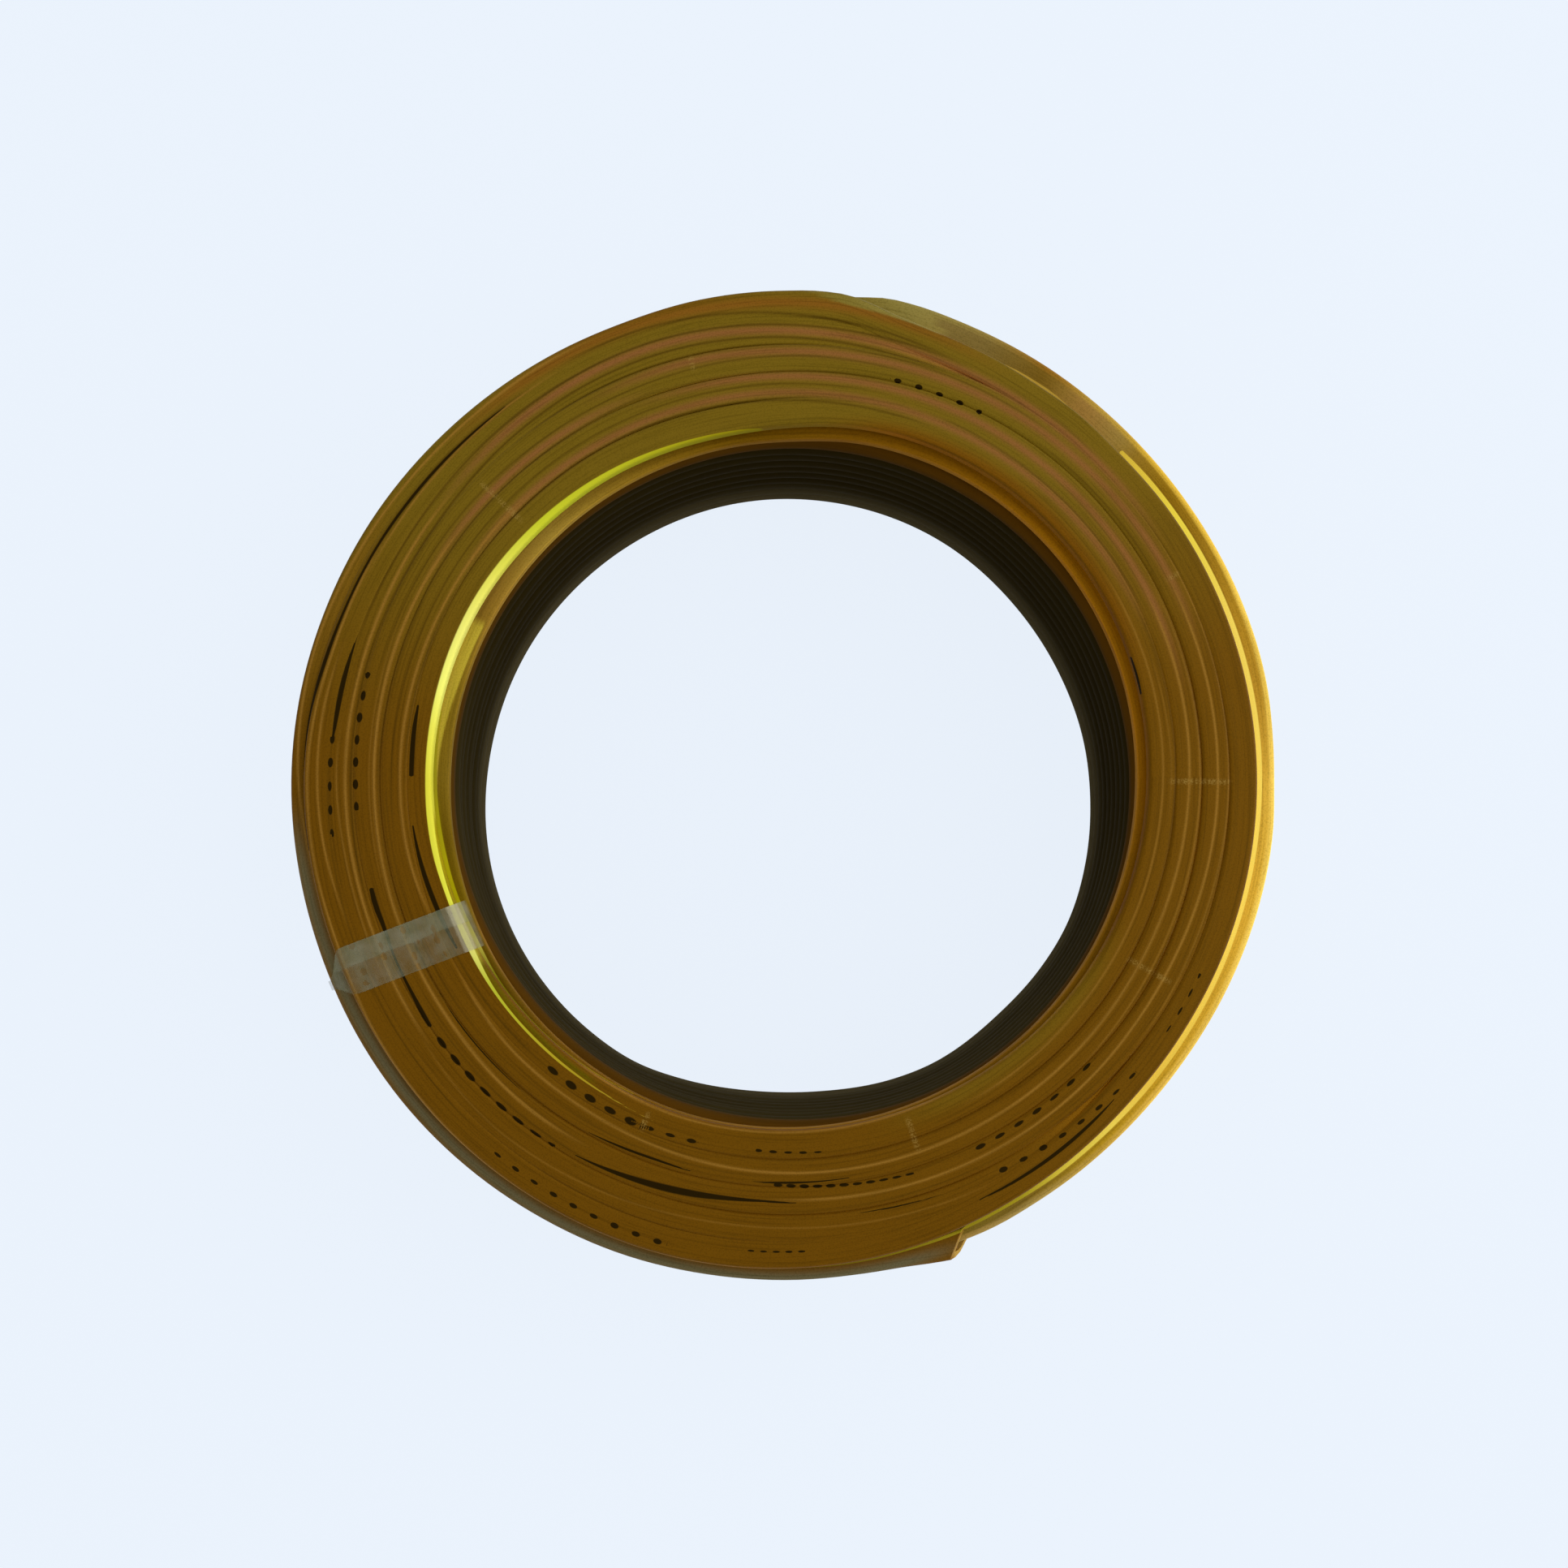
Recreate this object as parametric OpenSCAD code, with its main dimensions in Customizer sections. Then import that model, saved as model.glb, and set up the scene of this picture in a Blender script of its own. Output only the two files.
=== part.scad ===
// A coil of single-core insulated building wire, lying on one end.
// The wire is wound in layers round an open bore, turn above turn, and each end
// and wall shows the round backs of the turns. The last turn lies in the groove
// under the topmost one and ends in a free, obliquely cut tail. A band of clear
// tape goes round the ring's section and holds the coil together.
// The origin is on the bore's axis, in the plane that the coil lies on.

/* [Wire] */
// Diameter over the insulation
wire_d = 4.7; // [4:0.1:6]
// How much two turns that touch press into each other
squeeze = 0.1; // [0.05:0.05:0.2]
// Diameter of the copper conductor inside
conductor_d = 2.6; // [1.5:0.1:3.2]

/* [Coil] */
// Diameter of the bore, which the mandrel leaves
bore_d = 114; // [80:1:180]
// Layers between the bore and the outer wall
layers = 5; // [3:1:9]
// Turns in each layer, one above the other
turns = 12; // [4:1:20]

/* [Outermost turn] */
// How far its middle is off the coil's axis, because it was laid on loosely
loose_by = 1.7; // [0:0.1:2.5]
// Direction in which it stands out furthest
loose_towards = 208; // [190:1:225]
// Where it has come fully out of the wall
comes_out_at = 75; // [60:1:100]
// Radius of the bend by which it comes out
come_out_r = 50; // [40:1:55]
// How much it presses into the two turns that carry it
pressed_in = 0.3; // [0.2:0.05:0.4]
// How far it sags below the groove's middle
sags_by = 0.25; // [0.2:0.05:0.4]
// Where it leaves the coil as a straight tail
leaves_at = 277; // [255:1:300]

/* [Free end] */
// Length of the straight tail, to the middle of its cut
tail_l = 18; // [8:1:40]
// Slant of the cut, seen from the side
cut_slant = 35; // [0:1:45]
// Slant of the cut, seen from above
cut_skew = 35; // [0:1:45]
// How far the conductor has drawn back into the insulation
core_set_back = 1.2; // [0.4:0.1:3]

/* [Tape] */
// Width of the tape
tape_w = 8; // [4:0.5:20]
// Thickness of one ply
tape_t = 0.1; // [0.05:0.01:0.15]
// Where it crosses the coil
tape_at = 203.5; // [195:0.5:230]
// How far it runs off the radial direction
tape_skew = 3; // [-8:1:8]
// Width over which its second ply lies on the first
ply_w = 3.8; // [1:0.1:4]

/* [Hidden] */

$fn = 96;

wire_r = wire_d / 2;
// Distance between the middles of two neighbouring turns
pitch = wire_d - squeeze;
bore_r = bore_d / 2;
ring_w = layers * pitch;
coil_h = turns * pitch;
// Middles of the first and last layer, and of the lowest and highest turn
first_layer_r = bore_r + pitch / 2;
last_layer_r = bore_r + ring_w - pitch / 2;
lowest_z = pitch / 2;
highest_z = coil_h - pitch / 2;

// The outermost turn: its height, how far out it rests on the two turns that
// carry it, its own radius and the middle it is wound round
outer_z = coil_h - pitch - sags_by;
resting_r = last_layer_r + sqrt(pow(wire_d - pressed_in, 2) - pow(pitch / 2, 2));
outer_turn_r = resting_r - loose_by;
outer_middle = loose_by * towards(loose_towards);
// How far round the bend goes before its inner end is buried in the coil
buried_by = 40;
// The bend and the tail are this much thinner than the turn between them, and
// run this far into its ends
slip = 0.1;
slip_in = 1;

// The tape follows the turns at the corners of the section, and its lowest run
// is pressed flush into the coil's underside
tape_lowest_z = wire_r + tape_t;
mid_r = bore_r + ring_w / 2;
outer_turn_at_tape = outer_turn_r + loose_by * cos(tape_at - loose_towards);
CORNERS = [
    [first_layer_r, tape_lowest_z],
    [last_layer_r, tape_lowest_z],
    [outer_turn_at_tape, outer_z],
    [last_layer_r, highest_z],
    [first_layer_r, highest_z]
];
// Longer than any part of the coil, for cutting solids
far = 2 * (bore_r + ring_w + wire_d);

function towards(angle) = [cos(angle), sin(angle)];

// Unit normal of the edge from a to b, on its right hand
function outward(a, b) = [b.y - a.y, a.x - b.x] / norm(b - a);

// True for the turns that show on an end or a wall
function at_edge(layer, turn) =
    layer == 0 || layer == layers - 1 || turn == 0 || turn == turns - 1;

// Half the ring's section, right of the axis: the turns inside are solid, the
// outer ones keep their round backs, pressed flat where the section ends
module ring_section() {
    intersection() {
        translate([bore_r, 0]) square([ring_w, coil_h]);
        union() {
            translate([first_layer_r, lowest_z])
                square([ring_w - pitch, coil_h - pitch]);
            for (layer = [0 : layers - 1], turn = [0 : turns - 1])
                if (at_edge(layer, turn))
                    translate([first_layer_r + layer * pitch, lowest_z + turn * pitch])
                        circle(d = wire_d);
        }
    }
}

// A stretch of wire bent to a radius round a middle, between two angles
module bent_wire(middle, radius, from, to, d) {
    translate([middle.x, middle.y, 0])
        rotate([0, 0, from])
            rotate_extrude(angle = to - from)
                translate([radius, outer_z])
                    circle(d = d);
}

// The last turn, from where it comes out of the wall to where it leaves the coil
module outermost_turn() {
    bend_middle = outer_middle + (outer_turn_r - come_out_r) * towards(comes_out_at);
    overlap_angle = slip_in / come_out_r * 180 / PI;
    bent_wire(bend_middle, come_out_r, comes_out_at - buried_by,
        comes_out_at + overlap_angle, wire_d - slip);
    bent_wire(outer_middle, outer_turn_r, comes_out_at, leaves_at, wire_d);
}

// The straight free end, cut off obliquely, with the conductor drawn back
module tail() {
    start = outer_middle + outer_turn_r * towards(leaves_at);
    translate([start.x, start.y, outer_z])
        rotate([0, 0, leaves_at])
            rotate([-90, 0, 0])
                difference() {
                    translate([0, 0, -slip_in])
                        cylinder(h = tail_l + slip_in + wire_d, d = wire_d - slip);
                    translate([0, 0, tail_l - core_set_back])
                        cylinder(h = 2 * wire_d, d = conductor_d);
                    translate([0, 0, tail_l])
                        rotate([cut_slant, cut_skew, 0])
                            translate([-far / 2, -far / 2, 0])
                                cube([far, far, far]);
                }
}

// The area within the turns at the corners, grown by a distance
module wrapped_section(grown_by) {
    polygon(CORNERS);
    for (i = [0 : len(CORNERS) - 1]) {
        a = CORNERS[i];
        b = CORNERS[(i + 1) % len(CORNERS)];
        away = grown_by * outward(a, b);
        polygon([a, a + away, b + away, b]);
        translate(a) circle(r = grown_by);
    }
}

// Everything within a straight strip that crosses the ring where the tape does,
// between two lines beside its middle and above a height
module tape_strip(side_a, side_b, above) {
    rotate([0, 0, tape_at])
        translate([mid_r, 0, 0])
            rotate([0, 0, -tape_skew])
                translate([-ring_w, side_a, above])
                    cube([2 * ring_w, side_b - side_a, far]);
}

// One ply of tape round the section, on top of the plies below it
module ply(number, side_a, side_b, above) {
    intersection() {
        rotate_extrude()
            difference() {
                wrapped_section(wire_r + number * tape_t);
                wrapped_section(wire_r + (number - 1) * tape_t);
            }
        tape_strip(side_a, side_b, above);
    }
}

// What the tape's lowest run and its two corners take out of the underside
module pressed_by_tape() {
    intersection() {
        rotate_extrude()
            difference() {
                translate([bore_r - tape_t, -tape_t])
                    square([ring_w + 2 * tape_t, tape_t + tape_lowest_z]);
                wrapped_section(wire_r);
            }
        tape_strip(-tape_w / 2, tape_w / 2, -far / 2);
    }
}

// The wire, all in one piece
module wire_coil() {
    color([0.48, 0.32, 0.03])
        difference() {
            union() {
                rotate_extrude() ring_section();
                outermost_turn();
                tail();
            }
            pressed_by_tape();
        }
}

// The tape: one ply all round, and the start of a second one over the top, whose
// ends come down the outer wall and the bore to just above the lowest turn
module binding_tape() {
    color([0.62, 0.64, 0.58, 0.5]) {
        ply(1, -tape_w / 2, tape_w / 2, -far / 2);
        ply(2, -tape_w / 2, ply_w - tape_w / 2, pitch);
    }
}

wire_coil();
binding_tape();
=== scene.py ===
import math

import bmesh
import bpy
import numpy as np
from mathutils import Matrix, Vector


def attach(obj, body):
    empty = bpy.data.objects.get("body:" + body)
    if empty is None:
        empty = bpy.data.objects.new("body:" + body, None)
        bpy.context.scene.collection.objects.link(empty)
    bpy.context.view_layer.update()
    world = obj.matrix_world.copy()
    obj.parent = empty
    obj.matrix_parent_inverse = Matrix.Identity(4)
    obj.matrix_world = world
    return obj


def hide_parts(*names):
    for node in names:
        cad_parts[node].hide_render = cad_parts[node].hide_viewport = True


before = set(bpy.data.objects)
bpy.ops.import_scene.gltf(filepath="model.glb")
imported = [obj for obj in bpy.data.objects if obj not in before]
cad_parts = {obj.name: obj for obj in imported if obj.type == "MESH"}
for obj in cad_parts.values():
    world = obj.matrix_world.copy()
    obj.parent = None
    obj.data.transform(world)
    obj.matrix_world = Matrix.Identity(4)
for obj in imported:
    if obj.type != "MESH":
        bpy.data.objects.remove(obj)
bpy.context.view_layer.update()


# The upper turns: the wire lies in four to six turns side by side, and the outermost of
# them winds on once more round the coil, sinks into the groove outside it and ends in a
# free tail. Stranded copper in glossy, half clear amber PVC, wound on a mandrel.

WIRE_R = 2.35
TOP_Z = 52.85
GROOVE_Z = 50.35
# The tail's cut faces this way: shares beside, above and ahead of the wire
CUT = (0.50, 0.42, 0.76)
CORE_R = 1.3
CORE_DEPTH = 3.0
# The power of the section's rounded square: 2 is a circle, more is flatter on top
FLATNESS = 8.0

# The wire's middle line at each stop: angle round the coil, radius and height. Where no
# height is given it is that of the stop before, and at first the top row's. First the
# turns that close on themselves.
CLOSED_TURNS = [
    # Innermost turn of the second row
    [(0, 59.5, 48.4), (15, 59.9), (30, 60.2), (45, 60.4, 48.5), (60, 60.45), (70, 60.35),
     (80, 60.05), (90, 59.4), (100, 59.3), (180, 59.5, 48.6), (225, 60.4, 48.5), (250, 60.5, 48.4),
     (270, 60.0), (300, 59.4, 48.5), (330, 59.3)],
    # First, second and third turn of the top row
    [(0, 60.5), (15, 61.0), (30, 61.5), (45, 61.75), (60, 61.85), (75, 61.7), (84, 61.2),
     (92, 60.6), (100, 60.3), (110, 60.4), (120, 60.7, 52.8), (135, 60.95, 52.7),
     (150, 61.4, 52.6), (165, 61.65), (180, 61.8), (195, 61.6), (210, 61.3, 52.7),
     (225, 61.0, 52.8), (240, 60.7, TOP_Z), (255, 60.3), (270, 59.9), (300, 59.6), (330, 60.0)],
    [(0, 64.7), (30, 65.4), (60, 65.7), (90, 65.1), (105, 65.0), (120, 65.3), (180, 65.6),
     (225, 65.1), (250, 64.7), (270, 64.4), (300, 64.1), (330, 64.6)],
    [(0, 69.3), (30, 69.9), (60, 70.3), (90, 69.7), (120, 69.8), (180, 70.0), (225, 69.6),
     (250, 69.2), (270, 68.8), (300, 68.6), (330, 69.2)],
    # Outermost turn of the second row
    [(4, 77.75, 49.2), (12, 78.2), (22, 78.3), (35, 78.35), (45, 78.55), (60, 79.2), (70, 79.7),
     (76, 80.15), (79, 80.2), (82, 79.65), (86, 79.1), (90, 78.9), (94, 79.05), (98, 79.2),
     (103, 79.3, 49.1), (112, 79.0, 49.0), (120, 78.7, 48.8), (135, 78.3, 48.5), (180, 78.2, 48.3),
     (270, 77.8, 48.4), (285, 78.3, 48.9), (294, 78.3, 49.1), (299, 77.9, 49.2), (305, 77.6),
     (312, 77.3), (322, 77.1), (335, 77.3), (345, 77.6), (354, 77.75), (359, 77.6)],
]
# A fourth turn of the top row, which comes up at the back and goes down at the right
SQUEEZED_TURN = [
    (44, 72.2, 49.4), (60, 72.7, 51.4), (75, 73.4, 52.4), (90, 74.2, 52.6), (105, 74.3, 52.7),
    (120, 74.2), (135, 73.9), (150, 74.0), (180, 74.2, TOP_Z), (210, 74.1), (240, 73.8),
    (260, 73.5), (280, 73.2), (300, 73.0, 52.7), (320, 72.1, 51.6), (340, 71.4, 49.4)]
# The outermost turn of the top row, then the last turn outside it and the tail
LAST_TURNS = [
    (54, 75.4, 48.8), (70, 75.8, 51.0), (85, 76.6, 52.4), (100, 77.2, 52.75), (120, 77.2, TOP_Z),
    (135, 76.9), (150, 77.0), (165, 77.4), (180, 77.9), (195, 77.8), (210, 77.8), (225, 78.0),
    (240, 78.0), (255, 77.9), (270, 77.3), (278, 76.8), (285, 76.2), (292, 75.5), (299, 74.9),
    (307, 74.3), (315, 73.8), (325, 73.6), (345, 73.7), (360, 73.8), (380, 73.9), (395, 74.0),
    (406, 74.0), (412, 74.4), (418, 74.5), (425, 75.0), (434, 75.8), (438, 76.6), (441, 77.7),
    (444, 78.6), (447, 78.85), (451, 78.8), (455, 78.8), (462, 78.7), (470, 78.4), (480, 78.5),
    (495, 78.8), (510, 79.3, 52.7), (520, 79.6, 52.4), (530, 80.0, 51.9), (540, 80.3, 51.2),
    (550, 80.4, 50.7), (560, 80.5, 50.4), (570, 80.7, GROOVE_Z), (580, 80.8), (590, 80.7),
    (600, 80.5), (610, 80.3), (620, 79.9), (630, 79.6), (638, 79.4), (643, 79.6), (646, 80.1),
    (649.8, 80.8)]


def follow(stops, at, closed=False):
    """A smooth curve through the stops (angle, value, ...): between two stops it is the
    cubic that meets both, with slopes taken from the stops on either side."""
    stops = np.array(stops, float)
    if closed:
        before, after = stops[-2:].copy(), stops[:3].copy()
        before[:, 0] -= 360
        after[:, 0] += 360
        stops = np.vstack([before, stops, after])
        at = np.mod(at, 360)
    angle, value = stops[:, 0], stops[:, 1:]
    slope = np.gradient(value, angle, axis=0)
    k = np.clip(np.searchsorted(angle, at, side="right") - 1, 0, len(angle) - 2)
    width = angle[k + 1] - angle[k]
    t = np.clip((at - angle[k]) / width, 0, 1)[:, None]
    width = width[:, None]
    return ((1 + 2 * t) * (1 - t) ** 2 * value[k] + t ** 2 * (3 - 2 * t) * value[k + 1]
            + width * t * (1 - t) ** 2 * slope[k] + width * t ** 2 * (t - 1) * slope[k + 1])


def round_the_coil(stops, closed=False):
    """The wire's middle line: every degree and a half, the stops' smooth radius and
    height."""
    full, z = [], TOP_Z
    for stop in stops:
        z = stop[-1] if len(stop) == 3 else z
        full.append((*stop[:2], z))
    first, last = (0, 360) if closed else (stops[0][0], stops[-1][0])
    angle = np.linspace(first, last, int(math.ceil((last - first) / 1.5)) + 1)
    if closed:
        angle = angle[:-1]
    radius, height = follow(full, angle, closed).T
    turn = np.radians(angle)
    return np.stack([radius * np.cos(turn), radius * np.sin(turn), height], axis=1)


def section():
    """The wire's section, from its outer side over the top and back underneath: points
    evenly apart across the top, each as high as the rounded square is there."""
    shoulder = np.array([1.0, 0.995, 0.98, 0.955])
    across = np.concatenate([shoulder, np.linspace(0.92, -0.92, 29), -shoulder[::-1]])
    under = np.array([-0.8, 0.0, 0.8])
    up = (1 - np.abs(across) ** FLATNESS) ** (1 / FLATNESS)
    down = -(1 - np.abs(under) ** 2) ** 0.5
    return np.concatenate([across, under]), np.concatenate([up, down])


def wire_along(line, closed=False, cut=None):
    """The section carried along the wire's middle line: a point lies beside the line by
    the wire's radius times its share across, and above it by that times its share up. At
    an oblique cut the last sections slide along the line, more and more, until the end
    lies in the cut's plane. An end closes on a point, and a cut one round a hollow first,
    for the conductor."""
    if closed:
        ahead = np.roll(line, -1, axis=0) - np.roll(line, 1, axis=0)
    else:
        ahead = np.gradient(line, axis=0)
    ahead /= np.linalg.norm(ahead, axis=1, keepdims=True)
    beside = np.cross(ahead, [0, 0, 1])
    beside /= np.linalg.norm(beside, axis=1, keepdims=True)
    above = np.cross(beside, ahead)
    across, up = section()
    points = (line[:, None] + WIRE_R * across[None, :, None] * beside[:, None]
              + WIRE_R * up[None, :, None] * above[:, None])
    if closed:
        return points
    first, last = (np.tile(end, (1, len(across), 1)) for end in (line[0], line[-1]))
    if cut is None:
        return np.concatenate([first, points, last])
    slide = -(cut[0] * across + cut[1] * up) / cut[2]
    share = np.clip(np.arange(len(line)) - len(line) + 4, 0, 3)[:, None, None] / 3
    points += share * WIRE_R * slide[None, :, None] * ahead[:, None]
    flat = across[:, None] * beside[-1] + up[:, None] * above[-1]
    lip = line[-1] + CORE_R * (flat + slide[:, None] * ahead[-1])
    bottom = line[-1] + CORE_R * flat - CORE_DEPTH * ahead[-1]
    return np.concatenate([first, points, lip[None], bottom[None],
                           last - CORE_DEPTH * ahead[-1]])


def grid_faces(n, m, closed_along, closed_round, first=0):
    """Quads of a grid of n by m points, wound so that they face outwards."""
    i = np.arange(n if closed_along else n - 1)
    j = np.arange(m if closed_round else m - 1)
    i, j = np.meshgrid(i, j, indexing="ij")
    a, b = i % n * m + j % m, (i + 1) % n * m + j % m
    c, d = (i + 1) % n * m + (j + 1) % m, i % n * m + (j + 1) % m
    return first + np.stack([a, b, c, d], axis=-1).reshape(-1, 4)


def grid_uv(distance, m, closed_along, closed_round):
    """For each corner of each quad, the distance along the wire in metres and the share
    of the way round its section."""
    if closed_along:
        distance = np.append(distance, distance[-1] + distance[1] - distance[0])
    steps = len(distance) - 1
    i, j = np.meshgrid(np.arange(steps), np.arange(m if closed_round else m - 1), indexing="ij")
    u = np.stack([distance[i], distance[i + 1], distance[i + 1], distance[i]], axis=-1)
    v = np.stack([j, j, j + 1, j + 1], axis=-1) / m
    return np.stack([u, v], axis=-1).reshape(-1, 2)


def new_piece(name, grids, finish, paint=None):
    """A mesh of several grids, each (points in mm, closed along, closed round). The
    paint gives the mesh's named attributes from its points: one number to a point, or
    three for a colour."""
    vertices, faces, uv, first = [], [], [], 0
    for points, closed_along, closed_round in grids:
        n, m = points.shape[:2]
        stride = np.linalg.norm(np.diff(points.mean(axis=1), axis=0), axis=1)
        distance = np.concatenate([[0], np.cumsum(stride)]) / 1000
        faces.append(grid_faces(n, m, closed_along, closed_round, first))
        uv.append(grid_uv(distance, m, closed_along, closed_round))
        vertices.append(points.reshape(-1, 3))
        first += n * m
    vertices = np.concatenate(vertices)
    mesh = bpy.data.meshes.new(name)
    mesh.from_pydata(vertices / 1000, [], np.concatenate(faces).tolist())
    mesh.uv_layers.new(name="along_and_round").data.foreach_set("uv", np.concatenate(uv).ravel())
    for title, values in (paint(vertices) if paint else {}).items():
        kind, field = ("FLOAT", "value") if values.ndim == 1 else ("FLOAT_VECTOR", "vector")
        layer = mesh.attributes.new(name=title, type=kind, domain="POINT")
        layer.data.foreach_set(field, values.ravel())
    shape = bmesh.new()
    shape.from_mesh(mesh)
    bmesh.ops.remove_doubles(shape, verts=shape.verts, dist=1e-7)
    shape.to_mesh(mesh)
    shape.free()
    mesh.shade_smooth()
    mesh.set_sharp_from_angle(angle=math.radians(50))
    piece = bpy.data.objects.new(name, mesh)
    bpy.context.collection.objects.link(piece)
    piece.data.materials.append(finish)
    return piece


def srgb(*levels):
    """A colour given as screen levels from 0 to 255, made linear; or a colour to a point,
    given as three rows of levels."""
    level = np.clip(levels, 0, 255) / 255
    return np.where(level < 0.04045, level / 12.92, ((level + 0.055) / 1.055) ** 2.4)


def fade(x):
    """0 below 0, 1 above 1 and smooth between."""
    x = np.clip(x, 0, 1)
    return x * x * (3 - 2 * x)


def towards(side, angle, low, high):
    """1 on one side of the coil and 0 on the other, smooth between: by the cosine of the
    angle from that side, which rises there from low to high."""
    return fade((np.cos(np.radians(angle - side)) - low) / (high - low))


def on_the_way(one, other, share):
    """A colour to a point, between one and the other by a share to a point."""
    return one + (other - one) * share[:, None]


def polar(vertices):
    """Angle in degrees round the bore's axis, and distance from it in mm."""
    angle = np.degrees(np.arctan2(vertices[:, 1], vertices[:, 0]))
    return angle, np.hypot(vertices[:, 0], vertices[:, 1])


def tones(stops, angle):
    """The colour at an angle round the coil, straight between stops (angle, levels)."""
    stops = np.array(stops, float)
    return srgb(*[np.interp(angle, stops[:, 0], row, period=360) for row in stops[:, 1:].T]).T


def beside_line(angle, radius, stops):
    """How far a point stands outside a curve round the coil, and how far along it the
    point is, as an angle from the curve's start; past its end that is more than the
    curve's own reach."""
    along = np.mod(angle - stops[0][0], 360)
    line = follow(stops, stops[0][0] + np.minimum(along, stops[-1][0] - stops[0][0]))[:, 0]
    return radius - line, along


def stripe(tone, angle, radius, stops, half_width, colour, strength=1.0, ends=10.0):
    """Mixes a colour in along a curve round the coil: full on the curve, less to either
    side as a bell, and fading over its ends."""
    aside, along = beside_line(angle, radius, stops)
    reach = stops[-1][0] - stops[0][0]
    weight = strength * np.exp(-(aside / half_width) ** 2)
    weight = weight * fade(along / ends) * fade((reach - along) / ends)
    return on_the_way(tone, colour, weight)


# More half widths away than any line shows
FAR = 9.0


def nearest(angle, radius, lines):
    """The distance to the nearest of several thin lines, in half widths of that line. A
    line's stops are (angle, radius, half width)."""
    distance = np.full(len(angle), FAR)
    for stops in lines:
        reach = stops[-1][0] - stops[0][0]
        along = np.mod(angle - stops[0][0], 360)
        line = follow(stops, stops[0][0] + np.minimum(along, reach))
        share = np.abs(radius - line[:, 0]) / np.maximum(line[:, 1], 0.01)
        distance = np.minimum(distance, np.where(along > reach, FAR, share))
    return distance


AMBER = srgb(105, 68, 5)
OLIVE = srgb(114, 91, 19)
COPPER_AND_SHEEN = srgb(138, 88, 46)
HIGHLIGHT_TAN = srgb(150, 108, 40)
SHADE = srgb(66, 43, 4)
LIT_KHAKI = srgb(196, 174, 58)
GREY_REFLECTION = srgb(100, 94, 68)
ORANGE = srgb(112, 68, 4)
OPENING_SHADE = srgb(24, 13, 1)
SCUFFED = srgb(150, 122, 58)

# Broad bands, most where the copper shows through the crests, with painted sheen where
# the crests face the light: (angle, radius) along each, half width, strength and colour
BANDS = [
    ([(15, 70.1), (40, 70.4), (90, 70.7), (105, 71.0), (122, 70.8)], 0.7, 0.85, COPPER_AND_SHEEN),
    ([(10, 65.6), (75, 66.4), (116, 66.7)], 0.65, 0.85, COPPER_AND_SHEEN),
    ([(20, 62.9), (60, 63.3), (90, 63.8), (120, 63.8), (152, 64.1)], 0.65, 0.8, COPPER_AND_SHEEN),
    ([(30, 72.2), (60, 72.8), (90, 74.2), (105, 75.0), (145, 73.5)], 0.7, 0.9, COPPER_AND_SHEEN),
    ([(108, 68.2), (120, 68.4), (155, 68.7)], 0.65, 0.85, COPPER_AND_SHEEN),
    ([(60, 75.6), (75, 77.5), (85, 78.7), (95, 79.1), (110, 79.4), (140, 79.0)], 1.0, 0.8,
      srgb(132, 82, 22)),
    ([(142, 79.4), (152, 79.8), (176, 81.2)], 1.0, 0.85, srgb(126, 90, 20)),
    ([(10, 59.4), (60, 60.0), (75, 59.4), (90, 57.6)], 1.5, 0.9, ORANGE),
    ([(90, 80.4), (110, 80.6), (128, 80.6)], 0.7, 0.6, ORANGE),
    ([(280, 58.2), (310, 58.0), (340, 58.2)], 1.8, 0.6, OLIVE),
]
# Thin painted highlights along the turns, where the light catches them: (angle, radius)
# along each, half width, strength
HIGHLIGHT_LINES = [
    ([(265, 68.6), (300, 68.8), (335, 68.7), (345, 69.1), (390, 70.0)], 0.2, 0.85),
    ([(208, 63.1), (220, 63.8), (240, 63.9), (260, 64.3), (300, 64.1), (335, 64.1), (350, 64.5),
      (370, 65.1), (390, 65.5)], 0.22, 0.8),
    ([(295, 60.0), (325, 59.8), (350, 60.2), (370, 60.7), (395, 61.2)], 0.18, 0.5),
    ([(312, 66.3), (330, 66.1), (350, 66.4), (390, 67.1)], 0.15, 0.45),
    ([(320, 70.8), (340, 70.8), (360, 71.3), (395, 71.9)], 0.15, 0.45),
    ([(350, 61.4), (360, 61.8), (382, 61.9)], 0.15, 0.3),
    ([(226, 75.0), (240, 74.4), (260, 73.3), (298, 73.3)], 0.14, 0.35),
    ([(130, 63.9), (150, 64.1), (180, 64.5), (192, 64.3), (204, 63.3)], 0.24, 0.8),
    ([(140, 68.4), (160, 68.8), (190, 68.7), (215, 68.7), (232, 69.0), (242, 68.7)], 0.26, 0.9),
    ([(155, 69.6), (185, 69.5), (198, 69.4)], 0.14, 0.3),
    ([(138, 73.4), (160, 73.2), (180, 73.4), (200, 73.2), (218, 73.5)], 0.26, 0.85),
    ([(212, 73.6), (224, 74.6), (236, 75.0)], 0.12, 0.4),
    ([(172, 74.6), (180, 74.8), (190, 74.4), (210, 74.2)], 0.16, 0.5),
    ([(162, 76.9), (172, 77.8), (182, 77.9), (200, 76.5)], 0.2, 0.75),
    ([(148, 77.9), (156, 78.1), (166, 78.5), (171, 79.0), (176, 79.4), (190, 79.5), (200, 79.2),
      (210, 79.7), (225, 80.2), (260, 80.2), (274, 79.6)], 0.2, 0.9),
    ([(118, 77.7), (140, 77.3), (157, 77.6)], 0.18, 0.7),
    ([(112, 79.7), (121, 80.0), (131, 79.85), (151, 80.55), (166, 81.5), (178, 81.5), (190, 80.5),
      (202, 80.4)], 0.22, 0.8),
    ([(200, 57.6), (225, 58.2), (250, 58.4), (270, 57.8), (300, 57.1), (340, 57.0), (360, 57.1),
      (390, 57.6), (420, 57.9), (441, 57.7)], 0.16, 0.75),
]
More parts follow.
